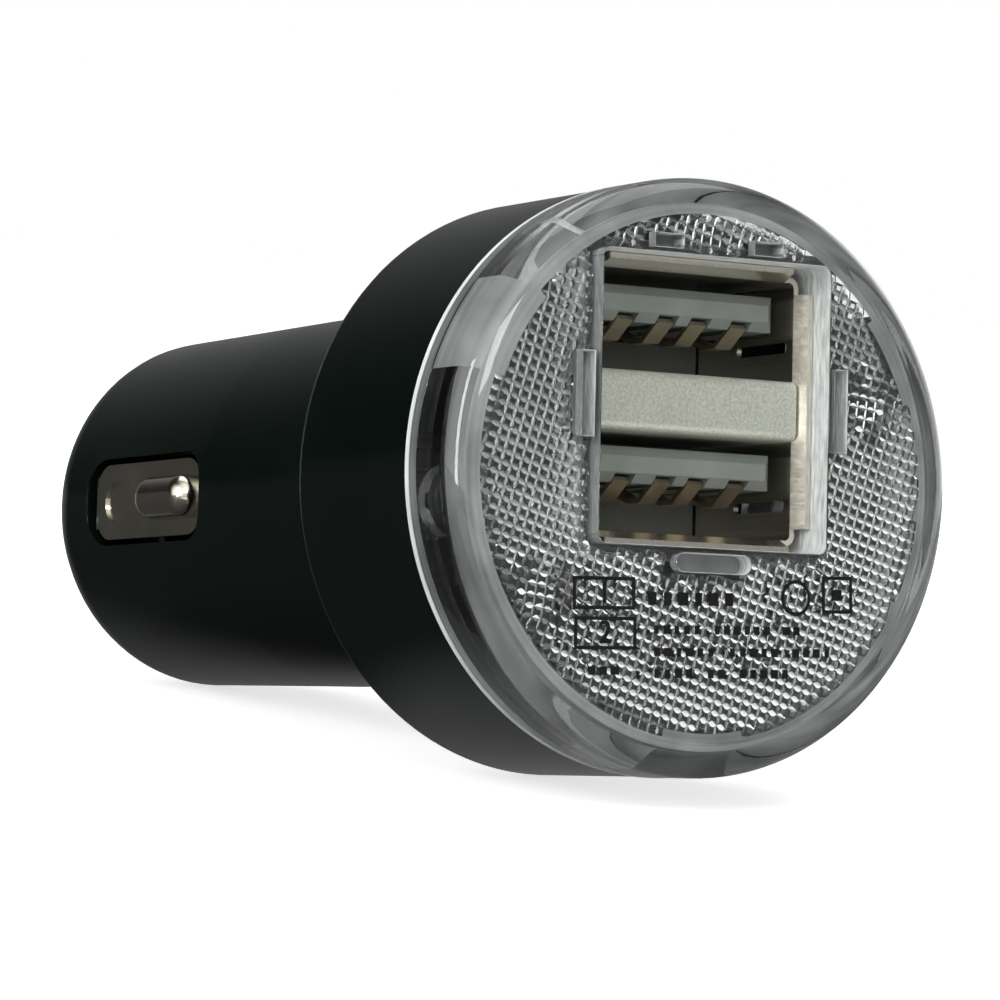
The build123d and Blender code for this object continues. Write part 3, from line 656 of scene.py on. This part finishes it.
def roundedLoop(middle, width, height, corner, steps=6):
    loop = []
    for quarter, (sx, sz) in enumerate(((1, 1), (-1, 1), (-1, -1), (1, -1))):
        x, z = middle[0] + sx * (width / 2 - corner), middle[1] + sz * (height / 2 - corner)
        for step in range(steps + 1):
            angle = math.pi / 2 * (quarter + step / steps)
            loop.append((x + corner * math.cos(angle), z + corner * math.sin(angle)))
    return loop


def makeJoint():
    bite, skin = frost["bite"], frost["skin"]
    shape = bmesh.new()
    face = frost["jointFace"]
    turnRing(shape, [
        (frost["jointInner"], face - bite), (frost["jointOuter"], face - bite),
        (frost["jointOuter"], face + bite), (frost["jointInner"], face + bite)])
    wall, face, inner = frost["cornerWall"], frost["cornerFace"], frost["cornerInner"]
    deep = face + frost["cornerDepth"]
    turnRing(shape, [
        (inner, face - bite), (wall + bite, face - bite), (wall + bite, deep),
        (wall - skin, deep), (wall - skin, face + skin), (inner, face + skin)])
    for angle in frost["hookAngles"]:
        arc = (angle - frost["hookSpan"] / 2, frost["hookSpan"], frost["hookSteps"])
        turnRing(shape, [
            (frost["hookInner"], face - bite), (inner, face - bite),
            (inner, face + skin), (frost["hookInner"], face + skin)], *arc)
        turnRing(shape, [
            (wall - skin, deep + bite), (wall + bite, deep + bite),
            (wall + bite, frost["hookEnd"]), (wall - skin, frost["hookEnd"])], *arc)
    # Frosted ring, corner and hooks; the light streaks of their finish are partly painted reflection arcs
    return finishShape("lens_frost_and_arcs", shape, finishes["frostWithPaintedArcs"])


# Painted highlight: a pale ring along the seam stands in for the bright line of light on the lens's rear
# edge
def makeSeamGlint():
    back, front = frost["jointFace"] - frost["bite"], frost["jointFace"] - frost["glintLength"]
    shape = bmesh.new()
    turnRing(shape, [
        (frost["glintInner"], back), (frost["glintRadius"], back),
        (frost["glintRadius"], front), (frost["glintInner"] + frost["glintTaper"], front)])
    return finishShape("seam_glint_ring", shape, finishes["paleFrostAndGlint"])


def makeWell():
    bite, skin = frost["bite"], frost["skin"]
    middle = (0.0, frost["wellMiddle"])
    width, height, corner = frost["wellWidth"], frost["wellHeight"], frost["wellCorner"]
    wall = frost["wellWall"]
    shape = bmesh.new()
    raiseShape(
        shape, roundedLoop(middle, width + bite, height + bite, corner),
        frost["wellFront"], frost["wellBack"],
        roundedLoop(middle, width - skin * 2, height - skin * 2, corner))
    well = finishShape("well_frost", shape, finishes["wellFrost"])
    shape = bmesh.new()
    wide, high = width + wall * 2, height + wall * 2
    raiseShape(
        shape, roundedLoop(middle, wide + skin, high + skin, corner + wall),
        frost["wellRoot"], frost["wellEnd"],
        roundedLoop(middle, wide - bite, high - bite, corner + wall))
    raiseShape(
        shape, roundedLoop(middle, wide, high, corner + wall),
        frost["wellEnd"] - bite, frost["wellEnd"] + skin,
        roundedLoop(middle, width + bite, height + bite, corner))
    return well, finishShape("well_sleeve", shape, finishes["paleFrostAndGlint"])


def makeRecesses():
    bite, skin = frost["bite"], frost["skin"]
    walls, floors = bmesh.new(), bmesh.new()
    for x, z, width, height, corner in frost["recesses"]:
        outer = roundedLoop((x, z), width + bite, height + bite, corner)
        raiseShape(
            walls, outer, frost["recessFront"], frost["recessFloor"],
            roundedLoop((x, z), width - skin * 2, height - skin * 2, corner - skin))
        raiseShape(floors, outer, frost["recessFloor"] - skin, frost["recessFloor"] + bite)
    rims = finishShape("recess_walls", walls, finishes["wellFrost"])
    return rims, finishShape("recess_floors", floors, finishes["recessFrost"])


for piece in (makeJoint(), makeSeamGlint(), *makeWell(), *makeRecesses()):
    for face in piece.data.polygons:
        face.use_smooth = False
    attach(piece, "body")
print("frosted faces made")


# Print on the lens face: boxes with numbers, rows of blocks, a ring and a square

printed = {
    "face": -16.3, "lift": 0.008, "thickness": 0.02, "stroke": 0.18, "rise": 1.5, "seed": 7,
    "blockWidth": (0.4, 0.8), "blockHeight": 0.6,
    "boxes": ((-6.62, -6.15, 3.7, 1.64), (-6.5, -8.14, 3.7, 1.64)),  # middle x, middle z, width, height
    "numbers": (("1", -6.6, -6.15), ("2", -6.5, -8.14)),
    "numberSize": 1.54, "numberBold": 0.035, "weld": 0.001,
    "rows": (  # left, right, middle z, height, marks in each group
        (-4.2, 1.4, -6.25, 1.1, (6,)),
        (-3.75, 5.45, -7.75, 0.72, (5, 6, 2)),
        (-3.7, 7.4, -8.84, 0.72, (6, 5, 4)),
        (-3.7, 4.8, -9.95, 0.75, (4, 2, 5)),
        (-7.6, -5.55, -10.0, 0.7, (3,)),
    ),
    "ring": (5.07, -5.95, 0.92), "ringSteps": 40, "square": (7.66, -5.7, 1.9), "squareDot": 0.3,
}
printBack = printed["face"] - printed["lift"]
printFront = printBack - printed["thickness"]


def tilted(points, middle):
    angle = math.radians(printed["rise"])
    c, s = math.cos(angle), math.sin(angle)
    return [(middle[0] + x * c - z * s, middle[1] + x * s + z * c) for x, z in points]


def boxPoints(width, height):
    x, z = width / 2, height / 2
    return [(-x, -z), (x, -z), (x, z), (-x, z)]


def makePrint():
    shape = bmesh.new()
    stroke = printed["stroke"]
    slope = math.tan(math.radians(printed["rise"]))
    chance = random.Random(printed["seed"])

    def hollow(middle, width, height, line):
        outer = tilted(boxPoints(width, height), middle)
        inner = tilted(boxPoints(width - 2 * line, height - 2 * line), middle)
        raiseShape(shape, outer, printFront, printBack, inner)

    def bar(middle, width, height):
        raiseShape(shape, tilted(boxPoints(width, height), middle), printFront, printBack)

    for x, z, width, height in printed["boxes"]:
        hollow((x, z), width, height, stroke)
    for left, right, z, height, groups in printed["rows"]:
        slots = sum(groups) + len(groups) - 1
        step = (right - left) / slots
        place = left + step / 2
        for group in groups:
            for _ in range(group):
                middle = (place, z + slope * (place - (left + right) / 2))
                bar(middle, step * chance.uniform(*printed["blockWidth"]), height * printed["blockHeight"])
                place += step
            place += step
    x, z, radius = printed["ring"]
    angles = [math.tau * k / printed["ringSteps"] for k in range(printed["ringSteps"])]
    circle = [(math.cos(angle), math.sin(angle)) for angle in angles]
    raiseShape(
        shape, [(x + radius * c, z + radius * s) for c, s in circle], printFront, printBack,
        [(x + (radius - stroke) * c, z + (radius - stroke) * s) for c, s in circle])
    x, z, side = printed["square"]
    hollow((x, z), side, side, stroke)
    bar((x, z), side * printed["squareDot"], side * printed["squareDot"])
    return finishShape("face_print", shape, finishes["printInk"])


def makeNumber(text, x, z):
    curve = bpy.data.curves.new("number", "FONT")
    curve.body = text
    curve.align_x, curve.align_y = "CENTER", "CENTER"
    curve.size = printed["numberSize"]
    curve.extrude = printed["thickness"] / 2
    curve.offset = printed["numberBold"]
    holder = newObject("number", curve)
    bpy.context.view_layer.update()
    mesh = bpy.data.meshes.new_from_object(holder.evaluated_get(bpy.context.evaluated_depsgraph_get()))
    bpy.data.objects.remove(holder)
    turn = Matrix.Rotation(math.pi / 2, 4, "X") @ Matrix.Rotation(math.radians(printed["rise"]), 4, "Z")
    place = Matrix.Translation((x * mm, (printFront + printBack) / 2 * mm, z * mm))
    mesh.transform(place @ Matrix.Scale(mm, 4) @ turn)
    shape = bmesh.new()
    shape.from_mesh(mesh)
    bmesh.ops.remove_doubles(shape, verts=shape.verts, dist=printed["weld"] * mm)
    return finishShape("print_number_" + text, shape, finishes["printInk"])


for piece in (makePrint(), *[makeNumber(*values) for values in printed["numbers"]]):
    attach(piece, "body")
print("print made")


# Camera, floor and light

shot = {
    "place": (-0.13817, -0.21597, -0.01598),
    "right": (0.8461, -0.5327, 0.0217),
    "up": (-0.0502, -0.0391, 0.9980),
    "forward": (0.5307, 0.8454, 0.0599),
    "lens": 173.5, "sensor": 36.0, "near": 0.01,
}


def makeCamera():
    camera = bpy.data.cameras.new("camera")
    camera.sensor_fit = "HORIZONTAL"
    camera.sensor_width = shot["sensor"]
    camera.lens = shot["lens"]
    camera.clip_start = shot["near"]
    holder = newObject("camera", camera)
    right, up, back = Vector(shot["right"]), Vector(shot["up"]), -Vector(shot["forward"])
    turn = Matrix((right, up, back)).transposed().to_4x4()
    holder.matrix_world = Matrix.Translation(shot["place"]) @ turn
    bpy.context.scene.camera = holder


stage = {
    # y and z where the plug lies on the floor
    "headTouch": (-0.0008, -0.01525), "tailTouch": (0.0354, -0.0103),
    "size": 4.0, "floorSeen": 0.7, "floorGiven": 0.008, "floorShade": 0.02,
    # Floor that the plug sees: painted glow, bright before the lens, paler behind it and beside the head
    "pool": (0.01, -0.09), "poolInner": 0.07, "poolOuter": 0.16, "poolGlow": 1.4,
    "poolStart": -0.016, "poolFull": -0.03,
    "tailNear": 0.12, "tailFar": 0.2, "tailStart": 0.02, "tailFull": 0.13,
    "tailSpread": 0.45, "tailLeft": 0.001, "tailRight": 0.009,
    "headSpot": (-0.003, -0.003), "headInner": 0.006, "headOuter": 0.015, "headGlow": 0.18,
    "worldSeen": 1.0, "worldDark": 0.02,
    "behind": ((0.53, 0.845, 0.06), 0.75, 0.92, 1.0),  # white seen through the lens
    "worldGlows": (  # toward, where it starts, where it is full, strength
        ((0.933, 0.36, 0.0), 0.81, 0.95, 1.8),
        ((0.53, 0.84, 0.1), 0.5, 0.96, 0.17),
        ((-0.4, -0.8, 0.45), 0.6, 0.95, 1.1),
        ((0.53, -0.845, 0.06), 0.84, 0.97, 0.3),
        ((-0.98, -0.15, 0.1), 0.65, 0.96, 1.6),
        ((0.0, -0.25, 0.968), 0.7, 0.97, 0.5),
    ),
}


def makeFloor():
    (y0, z0), (y1, z1) = stage["headTouch"], stage["tailTouch"]
    slope = (z1 - z0) / (y1 - y0)
    mesh = bpy.data.meshes.new("floor")
    corners = boxPoints(stage["size"], stage["size"])
    mesh.from_pydata([(x, y, z0 + slope * (y - y0)) for x, y in corners], [], [(0, 1, 2, 3)])
    floor = newObject("floor", mesh)
    glowFloorMaterial = newMaterial(
        "floorWithPaintedGlow", mouldGrain, {"Grain Scale": 300.0, "Cloud Scale": 4.0, "Low": 0.6, "High": 0.8},
        ((0.86, 0.86, 0.86), (0.9, 0.9, 0.9)), 0.00001, Emission_Strength=1.0,
    )
    # White to the camera, dim to the plug, so that the black moulding stays black
    tree = glowFloorMaterial.node_tree
    shader = tree.nodes["Principled BSDF"]
    path = addNode(tree, "ShaderNodeLightPath")
    place = addNode(tree, "ShaderNodeTexCoord")
    split = addNode(tree, "ShaderNodeSeparateXYZ")
    tree.links.new(place.outputs["Object"], split.inputs[0])
    x, y = split.outputs["X"], split.outputs["Y"]
    forward = shot["forward"]
    away = calc(tree, "ADD", calc(tree, "MULTIPLY", x, forward[0]), calc(tree, "MULTIPLY", y, forward[1]))
    aside = calc(tree, "ADD", x, calc(tree, "MULTIPLY", away, stage["tailSpread"]))
    # Painted glow on the floor: a pool before the lens, a band behind the plug and a spot beside the head
    reach = reachFrom(tree, x, y, stage["pool"])
    pool = fade(tree, reach, stage["poolInner"], stage["poolOuter"], stage["poolGlow"], 0.0)
    pool = calc(tree, "MULTIPLY", pool, fade(tree, y, stage["poolFull"], stage["poolStart"], 1.0, 0.0))
    tail = fade(tree, away, stage["tailStart"], stage["tailFull"], stage["tailNear"], stage["tailFar"])
    tail = calc(tree, "MULTIPLY", tail, fade(tree, aside, stage["tailLeft"], stage["tailRight"], 0.0, 1.0))
    reach = reachFrom(tree, x, y, stage["headSpot"])
    head = fade(tree, reach, stage["headInner"], stage["headOuter"], stage["headGlow"], 0.0)
    given = calc(tree, "ADD", calc(tree, "ADD", pool, tail), calc(tree, "ADD", head, stage["floorGiven"]))
    glow = addNode(tree, "ShaderNodeMix", data_type="RGBA")
    tree.links.new(given, glow.inputs["A"])
    glow.inputs["B"].default_value = (*[stage["floorSeen"]] * 3, 1)
    tree.links.new(path.outputs["Is Camera Ray"], glow.inputs["Factor"])
    tree.links.new(glow.outputs["Result"], shader.inputs["Emission Color"])
    shade = addNode(tree, "ShaderNodeMix", data_type="RGBA")
    shade.inputs["A"].default_value = (*[stage["floorShade"]] * 3, 1)
    tree.links.new(path.outputs["Is Camera Ray"], shade.inputs["Factor"])
    tree.links.new(shader.inputs["Base Color"].links[0].from_socket, shade.inputs["B"])
    tree.links.new(shade.outputs["Result"], shader.inputs["Base Color"])
    mesh.materials.append(glowFloorMaterial)


def makeWorld():
    world = bpy.data.worlds.new("studio")
    bpy.context.scene.world = world
    world.use_nodes = True
    tree = world.node_tree
    glow = tree.nodes["Background"]
    path = addNode(tree, "ShaderNodeLightPath")
    place = addNode(tree, "ShaderNodeTexCoord")

    def glowToward(toward, start, full, strength):
        aim = addNode(tree, "ShaderNodeVectorMath", operation="DOT_PRODUCT")
        aim.inputs[1].default_value = toward
        tree.links.new(place.outputs["Generated"], aim.inputs[0])
        return fade(tree, aim.outputs["Value"], start, full, 0.0, strength)

    total = calc(tree, "ADD", stage["worldDark"], 0.0)
    for values in stage["worldGlows"]:
        total = calc(tree, "ADD", total, glowToward(*values))
    through = calc(tree, "MULTIPLY", path.outputs["Is Transmission Ray"], glowToward(*stage["behind"]))
    total = calc(tree, "ADD", total, through)
    seen = addNode(tree, "ShaderNodeMix", data_type="FLOAT")
    tree.links.new(path.outputs["Is Camera Ray"], seen.inputs["Factor"])
    tree.links.new(total, seen.inputs["A"])
    seen.inputs["B"].default_value = stage["worldSeen"]
    glow.inputs["Color"].default_value = (1, 1, 1, 1)
    tree.links.new(seen.outputs["Result"], glow.inputs["Strength"])


lamps = {  # place, aim, width, height, watts
    "frontSoft": ((-0.25, -0.6, 0.34), (0, -0.01, 0), 0.24, 0.24, 1.6),
    "topSoft": ((0.1, 0.1, 0.55), (0, 0.01, 0), 0.5, 0.4, 1.0),
    "leftSoft": ((-0.6, -0.14, 0.05), (0, -0.012, 0), 0.1, 0.7, 2.6),
}


def makeLamp(name, place, aim, width, height, watts):
    light = bpy.data.lights.new(name, "AREA")
    light.shape = "RECTANGLE"
    light.size, light.size_y, light.energy = width, height, watts
    holder = newObject(name, light)
    toward = Vector(aim) - Vector(place)
    holder.matrix_world = Matrix.Translation(place) @ toward.to_track_quat("-Z", "Y").to_matrix().to_4x4()


makeCamera()
makeFloor()
makeWorld()
for name, values in lamps.items():
    makeLamp(name, *values)
bpy.context.scene.view_settings.view_transform = "Standard"
print("studio made")
